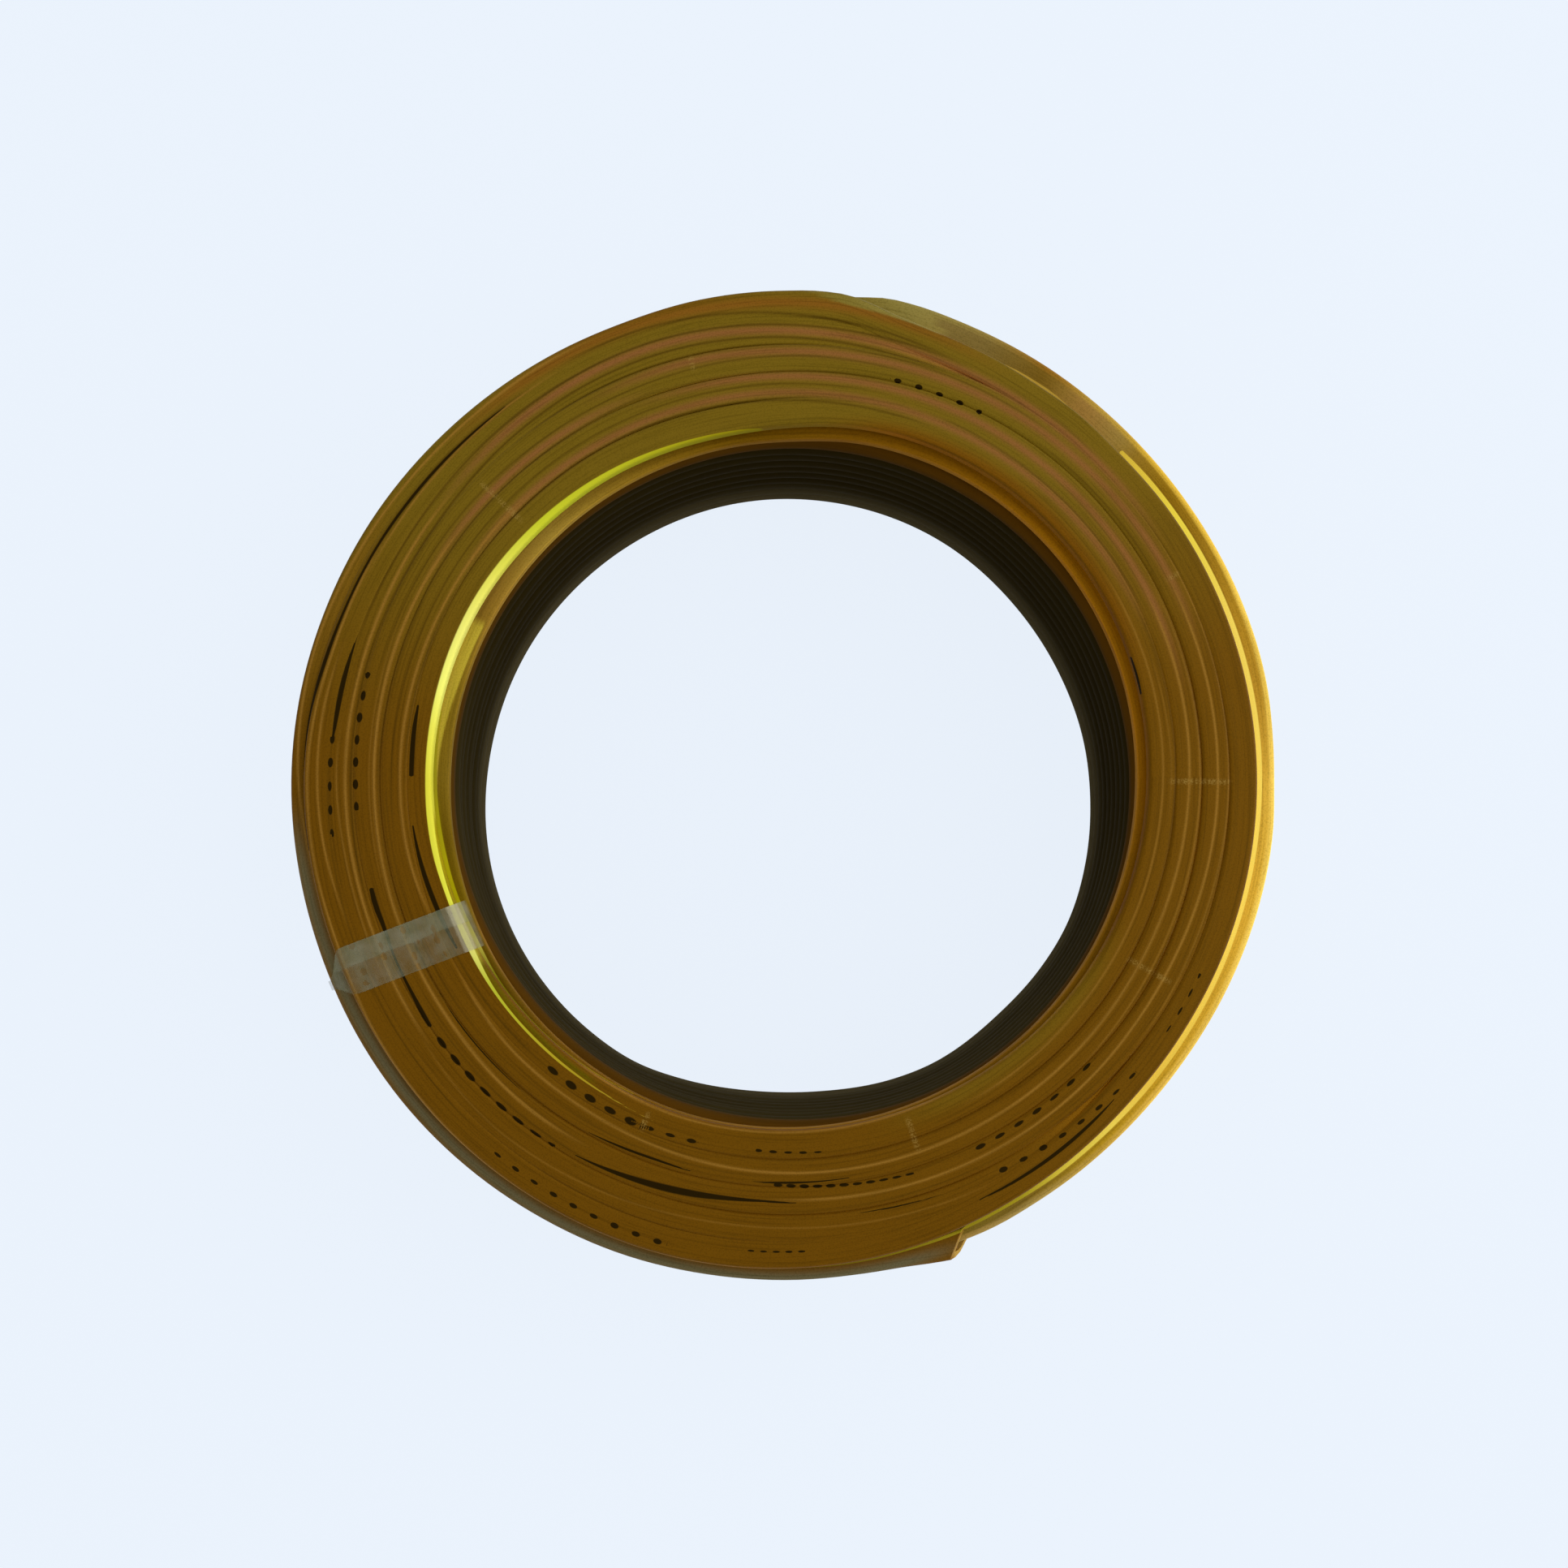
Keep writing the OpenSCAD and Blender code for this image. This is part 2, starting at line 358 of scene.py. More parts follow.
# Thin dark lines of painted shade, where the insulation of two turns meets
SHADE_LINES = [
    ([(320, 57.2), (335, 57.7), (360, 58.2), (375, 58.6), (390, 59.2), (405, 59.45), (420, 59.6),
      (436, 59.5)], 0.18, 0.45),
    ([(122, 77.6), (141, 77.9), (151, 78.33), (166, 79.17), (174, 80.1)], 0.4, 0.95),
    ([(385, 68.3), (418, 68.6)], 0.18, 0.6),
    ([(384, 63.7), (410, 63.9), (432, 64.4)], 0.15, 0.45),
    ([(66, 71.8), (76, 72.2), (91, 73.1), (111, 73.7), (131, 72.9), (141, 72.3), (170, 72.5),
      (202, 72.6)], 0.2, 0.7),
    ([(66, 73.9), (81, 74.7), (111, 75.9), (126, 75.4), (150, 74.8), (166, 75.1)], 0.2, 0.7),
    ([(104, 67.9), (120, 67.7), (150, 67.7), (180, 68.0), (212, 67.7), (238, 67.4)], 0.18, 0.45),
    ([(66, 62.3), (86, 62.4), (111, 62.9), (140, 63.2), (165, 63.6), (184, 63.8)], 0.2, 0.6),
    ([(75, 65.3), (100, 65.2), (130, 65.5), (160, 65.7), (192, 66.1)], 0.16, 0.55),
    ([(70, 69.7), (91, 69.9), (121, 69.5), (150, 70.0), (168, 70.1)], 0.16, 0.5),
    ([(50, 71.2), (76, 71.5), (91, 71.9), (106, 72.1), (132, 71.7)], 0.16, 0.5),
    ([(66, 73.9), (76, 75.2), (86, 76.5), (101, 78.0), (111, 78.5), (122, 78.2)], 0.22, 0.65),
    ([(200, 62.4), (232, 62.1)], 0.15, 0.6),
    ([(208, 70.3), (225, 70.5), (246, 70.6)], 0.14, 0.5),
    ([(174, 76.2), (205, 76.6), (230, 77.0)], 0.14, 0.5),
    ([(175, 66.9), (205, 66.4), (240, 65.4), (270, 65.0)], 0.14, 0.4),
    ([(255, 62.6), (300, 62.0), (350, 62.3), (400, 63.2)], 0.14, 0.3),
    ([(260, 70.4), (300, 70.0), (340, 69.9)], 0.14, 0.3),
    ([(300, 76.1), (330, 75.2), (360, 75.0), (400, 75.2)], 0.2, 0.3),
    ([(300, 72.3), (330, 72.3), (360, 72.8), (400, 73.2)], 0.2, 0.2),
    ([(330, 78.1), (360, 78.5), (385, 78.6)], 0.14, 0.35),
]
# Openings between the turns, painted dark with the shade in them and not cut: (angle,
# radius, half width) along each
SLITS = [
    [(127, 77.65, 0.05), (132, 77.7, 0.15), (141, 77.9, 0.24), (151, 78.33, 0.2), (161, 78.8, 0.2),
     (166, 79.17, 0.3), (173, 80.0, 0.25), (181, 80.3, 0.12), (190, 80.0, 0.05)],
    [(162, 75.3, 0.05), (168, 75.5, 0.4), (173, 75.6, 0.35), (177, 75.8, 0.05)],
    [(169, 62.8, 0.15), (172, 62.8, 0.33), (178, 62.7, 0.4), (181.5, 62.7, 0.35)],
    [(187, 62.9, 0.1), (192, 62.7, 0.3), (200, 62.2, 0.4), (208, 61.7, 0.15)],
    [(194, 71.3, 0.3), (197, 71.4, 0.45), (200, 71.2, 0.35), (204, 71.4, 0.2), (210, 71.5, 0.3),
     (213, 71.7, 0.4), (215.5, 71.8, 0.25)],
    [(210, 67.6, 0.04), (216, 67.7, 0.1), (226, 67.6, 0.08), (233, 67.6, 0.04)],
    [(239, 71.0, 0.05), (256, 69.6, 0.55), (261, 69.2, 0.35), (268, 68.9, 0.05)],
    [(240, 66.7, 0.05), (246, 66.3, 0.2), (250, 66.1, 0.2), (256, 66.2, 0.05)],
    [(277, 71.45, 0.04), (283, 71.6, 0.12), (289.5, 71.8, 0.04)],
    [(264, 66.05, 0.04), (267, 65.95, 0.16), (273, 65.8, 0.12), (279, 65.65, 0.04)],
    [(292, 74.9, 0.05), (298, 74.75, 0.22), (311, 74.05, 0.22), (315, 73.8, 0.05)],
    [(13, 58.6, 0.12), (16, 58.7, 0.22), (20, 58.85, 0.1)],
    [(262, 68.9, 0.05), (266, 69.0, 0.18), (271, 69.1, 0.05)],
]
# Rows of openings, one to each bulge of the strands, painted dark with the shade in
# them: first and last angle, radius at each, how many, their half width at each, and
# their half length
DOT_ROWS = [
    (63.2, 75.5, 67.9, 68.0, 5, 0.42, 0.42, 0.62), (166.6, 184.1, 71.9, 71.7, 7, 0.48, 0.48, 0.82),
    (175.5, 187.2, 75.8, 76.0, 5, 0.45, 0.35, 0.8),
    (217.1, 236.9, 71.8, 71.5, 8, 0.52, 0.26, 1.15),
    (230.6, 244.5, 61.9, 62.0, 5, 0.58, 0.6, 1.05), (247.5, 254.1, 61.8, 61.5, 3, 0.36, 0.36, 0.8),
    (231.9, 253.5, 77.9, 78.4, 9, 0.28, 0.5, 0.7), (297.8, 318.3, 72.2, 73.4, 8, 0.46, 0.25, 0.75),
    (296.5, 315.0, 67.2, 67.0, 7, 0.38, 0.3, 0.9), (263.1, 270.7, 77.1, 76.85, 6, 0.16, 0.22, 0.6),
    (264.3, 273.4, 61.0, 61.1, 5, 0.28, 0.2, 0.65), (325.9, 333.9, 73.5, 73.6, 4, 0.16, 0.24, 0.8),
    (267.5, 286.0, 66.3, 67.15, 11, 0.38, 0.2, 0.8)]
# Painted highlights: lines where the low light from the right catches the insulation's
# edge, given as the openings are: on the first turn of the top row, on the turn inside
# and below it, and on the outermost turn below it
LIT_EDGE = [
    [(91, 57.9, 0.05), (98, 57.95, 0.22), (106, 58.05, 0.32), (121, 58.6, 0.52), (136, 59.1, 0.66),
     (151, 59.6, 0.7), (166, 59.7, 0.68), (181, 59.8, 0.62), (187, 59.95, 0.52),
     (193, 59.95, 0.45), (199, 59.8, 0.33), (207.5, 59.75, 0.45), (215, 60.05, 0.25),
     (230, 60.1, 0.2), (240, 60.15, 0.1), (248, 60.5, 0.04)],
]
LIT_BELOW = [
    [(168, 59.5, 0.05), (181, 59.65, 0.5), (192.5, 59.2, 0.36), (197.5, 59.15, 0.33),
     (207, 58.95, 0.35), (215, 59.15, 0.25), (222, 59.0, 0.2), (244, 58.3, 0.04)],
]
LIT_OUTSIDE = [
    [(270, 80.0, 0.05), (279, 79.5, 0.12), (284, 79.1, 0.18), (291, 78.7, 0.28), (297, 78.1, 0.36),
     (303, 77.75, 0.42), (309, 77.35, 0.45), (324, 76.95, 0.5), (344, 77.0, 0.48),
     (370, 77.4, 0.5), (395, 77.55, 0.47), (403, 77.55, 0.42), (406.5, 77.45, 0.36)],
    [(414, 77.7, 0.1), (416, 77.75, 0.3), (419, 77.8, 0.36), (422, 77.9, 0.3), (424, 78.0, 0.05)],
]
# Their colours, as screen levels: (angle, red, green, blue)
EDGE_LIGHT = [
    (98, 150, 135, 10), (120, 190, 190, 35), (135, 205, 210, 45), (147, 240, 235, 95),
    (156, 250, 245, 120), (166, 255, 255, 120), (173, 240, 235, 85), (181, 230, 222, 65),
    (200, 230, 230, 70), (208, 235, 230, 120), (215, 190, 195, 50), (230, 180, 160, 35),
    (245, 150, 120, 30)]
LIGHT_BELOW = [
    (172, 175, 165, 35), (181, 170, 160, 30), (193, 195, 185, 20), (200, 190, 180, 10),
    (208, 200, 190, 80), (215, 150, 145, 20), (230, 150, 120, 25)]
OUTER_LIGHT = [
    (270, 110, 90, 15), (285, 150, 135, 25), (298, 180, 165, 35), (304, 230, 210, 70),
    (312, 250, 230, 95), (320, 240, 210, 80), (340, 255, 230, 100), (20, 255, 230, 100),
    (35, 250, 230, 75), (43, 232, 202, 68), (46, 215, 185, 60), (47, 185, 150, 55),
    (64, 185, 150, 55)]
# The second row's innermost turn, and its outermost: its inner side and its outer edge.
# These tones by angle hold painted light and shade: lighter where the low light from
# the right falls on the turns, darker where they lie in shade.
INNER_TONES = [
    (0, 155, 100, 5), (45, 158, 104, 5), (80, 128, 85, 5), (100, 120, 85, 5), (135, 162, 132, 50),
    (150, 150, 115, 40), (165, 128, 102, 22), (180, 128, 102, 25), (190, 108, 84, 8),
    (200, 116, 92, 5), (215, 96, 70, 3), (230, 113, 78, 8), (300, 120, 82, 8), (330, 130, 88, 8)]
LIT_LEDGE_TONES = [
    (10, 192, 146, 42), (20, 182, 138, 34), (30, 160, 120, 26), (38, 150, 112, 16),
    (43, 148, 114, 32), (46, 156, 128, 60), (52, 160, 120, 58), (55, 146, 113, 46),
    (58, 118, 88, 22), (66, 128, 106, 52), (76, 134, 115, 60), (84, 126, 110, 50),
    (90, 112, 84, 22), (105, 100, 68, 10), (200, 84, 66, 26), (285, 110, 84, 26),
    (292, 130, 108, 36), (298, 132, 106, 38), (310, 188, 150, 30), (330, 218, 174, 52),
    (345, 226, 180, 58), (358, 226, 184, 66)]
LIT_RIM_TONES = [
    (20, 250, 208, 88), (30, 240, 196, 70), (43, 226, 182, 60), (46, 196, 158, 60),
    (52, 182, 146, 62), (58, 146, 100, 26), (66, 154, 130, 66), (76, 144, 130, 66),
    (84, 128, 112, 44), (105, 112, 76, 14), (200, 96, 76, 28), (285, 150, 112, 34),
    (292, 166, 136, 70), (298, 168, 142, 76), (310, 204, 164, 66), (318, 238, 194, 82),
    (345, 250, 210, 92)]
# A painted highlight along the innermost turn's rim, and painted light in the groove
# above it: (angle, radius) along each, and the colour
RIM_LINE = [
    (200, 57.6), (250, 58.0), (300, 57.0), (360, 57.1), (390, 57.65), (420, 57.95), (441, 57.7)]
GROOVE_LIGHT = [
    ([(182, 59.4), (192.5, 59.4), (203, 59.5)], srgb(152, 138, 6)),
    ([(200, 59.4), (206, 59.4), (212, 59.5)], srgb(190, 182, 60)),
    ([(209, 59.4), (223.5, 59.4), (238, 59.5)], srgb(98, 84, 2)),
]
# The patch of the innermost turn painted lighter, where the low light from the right
# falls on it: from this curve outwards, and between these angles, each with the angle
# over which it fades
PATCH_EDGE = [(150, 57.2), (166, 57.8), (173, 58.5), (191, 59.2)]
PATCH_START = (153.2, 0.7)
PATCH_END = (191, 17)
# The last turn hides the outermost one below it only up to here, coming out; past this
# curve the outermost turn's lit rim tone, painted light, is painted on
COMING_OUT = [(72, 77.4), (80, 78.4), (84, 79.0), (88, 80.6), (92, 83.0)]
# A painted grey reflection of the pale surround, along the middle of the last turn's
# outer side
LAST_TURN_REFLECTION = [(182, 82.0), (200, 81.6), (240, 81.9), (270, 81.5), (292, 80.8)]
# Scuffs across the top: angle, nearest and furthest radius
SCUFFS = [(359.3, 60.8, 72.2), (331.2, 61.5, 70.5), (28.2, 58.6, 61.5), (137.0, 61.0, 71.5),
          (288.1, 57.8, 64.8), (246.5, 59.0, 63.2), (104.0, 69.0, 72.5), (28.0, 69.0, 72.6)]


def second_row(radius, height):
    """Whether a point is on the second row's innermost turn, and on its outermost."""
    low = height < 51.7
    return low & (radius < 62), low & (radius > 74)


def upper_tone(angle, radius, height):
    """The insulation's colour: amber, more olive towards the back, with copper and painted
    sheen, painted highlights and painted shade in lines along the turns. The second row's
    innermost and outermost turns have tones of their own by angle, which hold painted
    light and shade; the grooves and the steep inner side are lightened with painted light
    against their shade, and a painted grey reflection lies along the last turn."""
    turned = np.mod(angle, 360)
    inner, outer = second_row(radius, height)
    tone = on_the_way(AMBER, OLIVE, towards(95, angle, 0.1, 0.8))
    # Broad bands: copper showing through, with painted sheen where the crests face the light.
    for stops, width, strength, colour in BANDS:
        tone = stripe(tone, angle, radius, stops, width, colour, strength, 18)
    # Painted shade in thin lines where the turns meet.
    for stops, width, strength in SHADE_LINES:
        tone = stripe(tone, angle, radius, stops, width, SHADE, strength)
    # Painted highlights in thin lines along the turns.
    for stops, width, strength in HIGHLIGHT_LINES:
        tone = stripe(tone, angle, radius, stops, width, HIGHLIGHT_TAN, strength)

    # Painted light: the patch where the low light from the right falls on the innermost turn.
    patch = fade((radius - follow(PATCH_EDGE, turned)[:, 0]) / 0.25)
    patch = patch * fade((turned - PATCH_START[0]) / PATCH_START[1])
    patch = patch * fade((PATCH_END[0] - turned) / PATCH_END[1])
    inner_tone = on_the_way(tones(INNER_TONES, turned), LIT_KHAKI, patch)
    # A painted highlight along the innermost turn's rim.
    inner_tone = stripe(inner_tone, angle, radius, RIM_LINE, 0.16, HIGHLIGHT_TAN, 0.7)
    tone = np.where(inner[:, None], inner_tone, tone)
    # Painted light in the groove above the innermost turn.
    for stops, colour in GROOVE_LIGHT:
        tone = stripe(tone, angle, radius, stops, 0.45, colour, 0.95, 3)

    middle = follow([stop[:2] for stop in CLOSED_TURNS[-1]], angle, True)[:, 0]
    # Painted light and shade: the outermost turn's ledge and rim, lit towards the right.
    lit_rim_tone = tones(LIT_RIM_TONES, turned)
    on_rim = fade((radius - middle - 1) / 0.7)
    outer_tone = on_the_way(tones(LIT_LEDGE_TONES, turned), lit_rim_tone, on_rim)
    bare = outer & ((turned < 120) | (turned > 285))
    tone = np.where(bare[:, None], outer_tone, tone)
    past = fade((radius - follow(COMING_OUT, turned)[:, 0]) / 0.3) * (np.abs(turned - 82) < 10)
    tone = on_the_way(tone, lit_rim_tone, past)

    # Painted light: the grooves are lightened against their shade, more towards the right.
    groove = fade((55.05 - height) / 0.6) * fade((radius - 61.5) / 0.5)
    groove = groove * fade((76.5 - radius) / 0.5)
    painted_groove_light = 0.45 + 0.4 * towards(330, angle, 0.75, 0.95)
    tone = tone * (1 + painted_groove_light * groove)[:, None]
    # Painted light on the steep inner side of the first turn, towards the right.
    inner_side_light = fade((54.9 - height) / 0.5) * (radius < 61) * ~inner
    inner_side_light = inner_side_light * towards(10, angle, 0.2, 0.5)
    tone = tone * (1 + inner_side_light[:, None] * np.array([0.6, 0.5, 0.1]))
    # A painted grey reflection along the last turn's outer side.
    return stripe(tone, angle, radius, LAST_TURN_REFLECTION, 1.0, GREY_REFLECTION, 0.95)


def rows_of_openings(angle, radius):
    """How far along its row of openings a point is, in openings; how far beside it, in
    half widths; and an opening's half length, as a share of the way to the next."""
    row = np.tile([0.0, FAR, 0.0], (len(angle), 1))
    for first, last, start_r, end_r, count, start_half, end_half, long in DOT_ROWS:
        pitch = (last - first) / (count - 1)
        along = np.mod(angle - first + pitch / 2, 360) / pitch
        share = (along - 0.5) / (count - 1)
        half = start_half + (end_half - start_half) * np.clip(share, 0, 1)
        half = half * (0.9 + 0.1 * np.sin(2.4 * np.floor(along) + first))
        beside = np.abs(radius - start_r - (end_r - start_r) * share) / half
        ours = (along < count) & (beside < row[:, 1])
        share_long = long / (math.radians(pitch) * (start_r + end_r) / 2)
        row[ours] = np.stack([along, beside, np.full(len(along), share_long)], axis=1)[ours]
    return row.T


def across_scuffs(angle, radius):
    """How far beside its scuff a point is, in mm, and how much of the scuff reaches it:
    a scuff fades over a millimetre and a half at either end."""
    aside, reach = np.zeros((2, len(angle)))
    for at, nearest_r, furthest_r in SCUFFS:
        from_it = radius * np.radians(np.mod(angle - at + 180, 360) - 180)
        inside = fade((radius - nearest_r) / 1.5) * fade((furthest_r - radius) / 1.5)
        ours = np.abs(from_it) < 6
        aside[ours] = from_it[ours]
        reach[ours] = inside[ours]
    return aside, reach


def upper_paint(vertices):
    """The upper turns' attributes: their tone, with painted light and shade in it, and the
    painted highlights' colour, as colours; how far a point is from the openings and from
    the painted highlight lines, in half widths; and its place in a row of openings and
    across a scuff."""
    angle, radius = polar(vertices)
    turned = np.mod(angle, 360)
    height = vertices[:, 2]
    inner, outer = second_row(radius, height)
    whole = inner | ((radius < 60.5) & (height < 54))
    from_lit = np.where(radius > 70, FAR, nearest(angle, radius, LIT_EDGE))
    from_lit = np.where(inner, nearest(angle, radius, LIT_BELOW), from_lit)
    free_end = (radius > 78) & (turned > 262) & (turned < 293)
    from_lit = np.where(outer | free_end, nearest(angle, radius, LIT_OUTSIDE), from_lit)
    # The colours of the painted highlights, by angle round the coil.
    painted_highlight = np.where(inner[:, None], tones(LIGHT_BELOW, turned), tones(EDGE_LIGHT, turned))
    painted_highlight = np.where((radius > 70)[:, None], tones(OUTER_LIGHT, turned), painted_highlight)
    along_row, beside_row, opening_length = rows_of_openings(angle, radius)
    aside_scuff, in_scuff = across_scuffs(angle, radius)
    return {"tone": upper_tone(angle, radius, height), "painted_highlight": painted_highlight, "from_lit": from_lit,
            "from_slit": np.where(whole, FAR, nearest(angle, radius, SLITS)),
            "along_row": along_row, "beside_row": beside_row, "opening_length": opening_length,
            "aside_scuff": aside_scuff, "in_scuff": in_scuff}


class Value:
    """A number, colour or vector that varies over a surface, held as an output socket.
    Python's operators on numbers add the Math nodes."""

    def __init__(self, finish, socket):
        self.finish = finish
        self.socket = socket

    def maths(self, operation, *numbers):
        """A Math node's result on the numbers, or sockets, given."""
        return self.finish.node("ShaderNodeMath", {"operation": operation},
                                dict(enumerate(numbers)))

    def __add__(self, other):
        return self.maths("ADD", self, other)

    def __sub__(self, other):
        return self.maths("SUBTRACT", self, other)

    def __rsub__(self, other):
        return self.maths("SUBTRACT", other, self)

    def __mul__(self, other):
        return self.maths("MULTIPLY", self, other)

    def __truediv__(self, other):
        return self.maths("DIVIDE", self, other)

    __radd__ = __add__
    __rmul__ = __mul__

    def most(self, other):
        return self.maths("MAXIMUM", self, other)

    def over_whole(self):
        return self.maths("FRACT", self)

    def size(self):
        return self.maths("ABSOLUTE", self)

    def cosine(self):
        return self.maths("COSINE", self)

    def rise(self, low, high):
        """0 below low, 1 above high and smooth between; a fall where high is the lower."""
        return self.finish.node("ShaderNodeMapRange", {"interpolation_type": "SMOOTHSTEP"},
                                {"Value": self, "From Min": low, "From Max": high})


class Finish:
    """A material in the making: its nodes, all made by one method, and its shader."""

    def __init__(self, name):
        self.material = bpy.data.materials.new(name)
        self.material.use_nodes = True
        self.tree = self.material.node_tree
        self.shader = self.tree.nodes["Principled BSDF"]

    def plug(self, socket, value):
        if isinstance(value, Value):
            self.tree.links.new(value.socket, socket)
        else:
            socket.default_value = value

    def node(self, kind, settings=None, sockets=None, out=0):
        """A node of a kind: first its settings, then the values or links of its sockets.
        Gives the output asked for."""
        made = self.tree.nodes.new(kind)
        for name, value in (settings or {}).items():
            setattr(made, name, value)
        for name, value in (sockets or {}).items():
            self.plug(made.inputs[name], value)
        return Value(self, made.outputs[out])

    def mix(self, share, one, other, way="MIX"):
        """A colour between two, or one dyed by the other, by a share."""
        full = [colour if isinstance(colour, Value) else (*colour, 1.0)
                for colour in (one, other)]
        return self.node("ShaderNodeMix", {"data_type": "RGBA", "blend_type": way,
                                           "clamp_result": True},
                         {"Factor": share, 6: full[0], 7: full[1]}, out=2)

    def noise(self, place, scale, detail, roughness=0.5, **settings):
        """Fractal noise at a place, mostly between 0.25 and 0.75."""
        return self.node("ShaderNodeTexNoise", settings, {
            "Vector": place, "Scale": scale, "Detail": detail, "Roughness": roughness})

    def bumps(self, height, strength, distance):
        return self.node("ShaderNodeBump", {}, {
            "Height": height, "Strength": strength, "Distance": distance})

    def stretched(self, place, *by):
        """A place stretched along each axis, which squeezes a pattern there."""
        return self.node("ShaderNodeVectorMath", {"operation": "MULTIPLY"}, {0: place, 1: by})

    def place(self):
        """Where a point is on the piece, in metres."""
        return self.node("ShaderNodeTexCoord", out="Object")

    def number(self, name):
        """One of the mesh's attributes of one number."""
        return self.node("ShaderNodeAttribute", {"attribute_name": name}, out="Fac")

    def painted(self, name):
        """One of the mesh's attributes that hold a colour."""
        return self.node("ShaderNodeAttribute", {"attribute_name": name}, out="Vector")

    def set(self, **sockets):
        for name, value in sockets.items():
            self.plug(self.shader.inputs[name.replace("_", " ")], value)
        return self.material


pvc = Finish("amber_pvc_upper_turns")
beside_row, opening_length = pvc.number("beside_row"), pvc.number("opening_length")
along_opening = (pvc.number("along_row").over_whole() - 0.5) / opening_length.most(0.01)
in_row = (along_opening * along_opening + beside_row * beside_row).rise(1.3, 0.7)
# The openings are painted dark with the shade in them; they are dented, not cut.
shaded_openings = in_row.most(pvc.number("from_slit").rise(1.25, 0.75))
lit = pvc.number("from_lit").rise(1.2, 0.8)
along_and_round = pvc.node("ShaderNodeUVMap", {"uv_map": "along_and_round"})
streaks = pvc.noise(pvc.stretched(along_and_round, 18, 7, 1), 2.0, 4.0, 0.7,
                    noise_dimensions="2D")
grain = pvc.noise(pvc.place(), 4200.0, 1.0)
streaked = pvc.mix(streaks.rise(0.25, 0.75), (0.74, 0.73, 0.66), (1.26, 1.27, 1.25))
grained = pvc.mix(grain.rise(0.3, 0.7), (0.82, 0.82, 0.78), (1.18, 1.18, 1.2))
colour = pvc.mix(1.0, pvc.mix(1.0, pvc.painted("tone"), streaked, "MULTIPLY"), grained, "MULTIPLY")
scuffs = (pvc.number("aside_scuff").size().rise(0.7, 0.1) * pvc.number("in_scuff")
          * grain.rise(0.35, 0.6) * streaks.rise(0.3, 0.7))
colour = pvc.mix(scuffs * 0.8, colour, SCUFFED)
facing = pvc.node("ShaderNodeNewGeometry", out="Normal")
upright = pvc.node("ShaderNodeSeparateXYZ", {}, {"Vector": facing}, out="Z")
flank = upright.rise(0.8, 0.3)
# Painted light: the steep sides are lightened, against the shade they get in the grooves.
colour = pvc.mix(flank, colour, pvc.mix(1.0, colour, (1.5, 1.45, 1.2), "MULTIPLY"))
# Painted highlights along the lines where the low light from the right catches the edges.
colour = pvc.mix(lit, colour, pvc.painted("painted_highlight"))
# Painted shade in the openings.
colour = pvc.mix(shaded_openings, colour, OPENING_SHADE)
bumps = pvc.bumps(streaks * 0.3 + grain * 0.15 - shaded_openings * 2, 0.25, 0.0004)
pvc.set(Base_Color=colour, Roughness=(shaded_openings * 0.4 + streaks * 0.12 + 0.3).most(flank * 0.85),
        Normal=bumps, IOR=1.45, Specular_IOR_Level=0.22, Specular_Tint=(1.0, 0.62, 0.1, 1.0))

turns = [(wire_along(round_the_coil(stops, True), True), True, True) for stops in CLOSED_TURNS]
turns.append((wire_along(round_the_coil(SQUEEZED_TURN)), False, True))
last_line = round_the_coil(LAST_TURNS)
turns.append((wire_along(last_line, cut=CUT), False, True))
upper = new_piece("wire_upper_turns", turns, pvc.material, upper_paint)
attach(upper, "root")
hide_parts("wire_coil")


# The conductor: seven twisted copper wires, cut with the insulation and drawn back a
# little into it. Only their ends show, in the free end of the last turn.

STRAND_R = 0.42
# Each strand's distance from the conductor's middle, angle round it, and how far it is
# drawn back
STRANDS = [(0.0, 0, 1.1), (0.85, 0, 1.3), (0.85, 60, 1.1), (0.85, 120, 1.5), (0.85, 180, 1.2),
           (0.85, 240, 1.4), (0.85, 300, 1.2)]
leaving = last_line[-1] - last_line[-2]
leaving /= np.linalg.norm(leaving)


def strand(off_middle, at, set_back):
    """A copper wire with a domed end: circles along the tail's direction, whose radius
    falls to nothing over the last part of its length."""
    along = np.array([-3.6, -3.6, -set_back, -set_back + 0.12, -set_back + 0.2])
    size = np.array([0.0, 1.0, 1.0, 0.75, 0.0]) * STRAND_R
    turn = np.radians(np.arange(0, 360, 30))
    middle = np.radians(at)
    out = off_middle * math.cos(middle) + size[:, None] * np.cos(turn)
    up = off_middle * math.sin(middle) + size[:, None] * np.sin(turn)
    return (last_line[-1] + out[..., None] * np.cross(leaving, [0, 0, 1])
            + up[..., None] * np.array([0, 0, 1]) + along[:, None, None] * leaving)


copper = Finish("bare_copper")
tarnish = copper.noise(copper.place(), 1800.0, 3.0)
copper.set(Base_Color=copper.mix(tarnish.rise(0.35, 0.65), srgb(110, 60, 26), srgb(166, 98, 52)),
           Metallic=0.9, Roughness=tarnish * 0.3 + 0.3)
strands = new_piece("conductor_strands", [(strand(*values), False, True) for values in STRANDS],
                    copper.material)
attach(strands, "root")
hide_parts("wire_coil")


# The walls and the underside: the backs of the layers below, turn above turn round the
# bore and outside, and side by side where the coil lies. The same wire, pressed together
# by the winding.

PITCH = 4.6
ROWS = 10
LAYERS = 5
BORE_LAYER_R = 59.35
OUTER_LAYER_R = 77.65
LOWEST_Z = 2.3
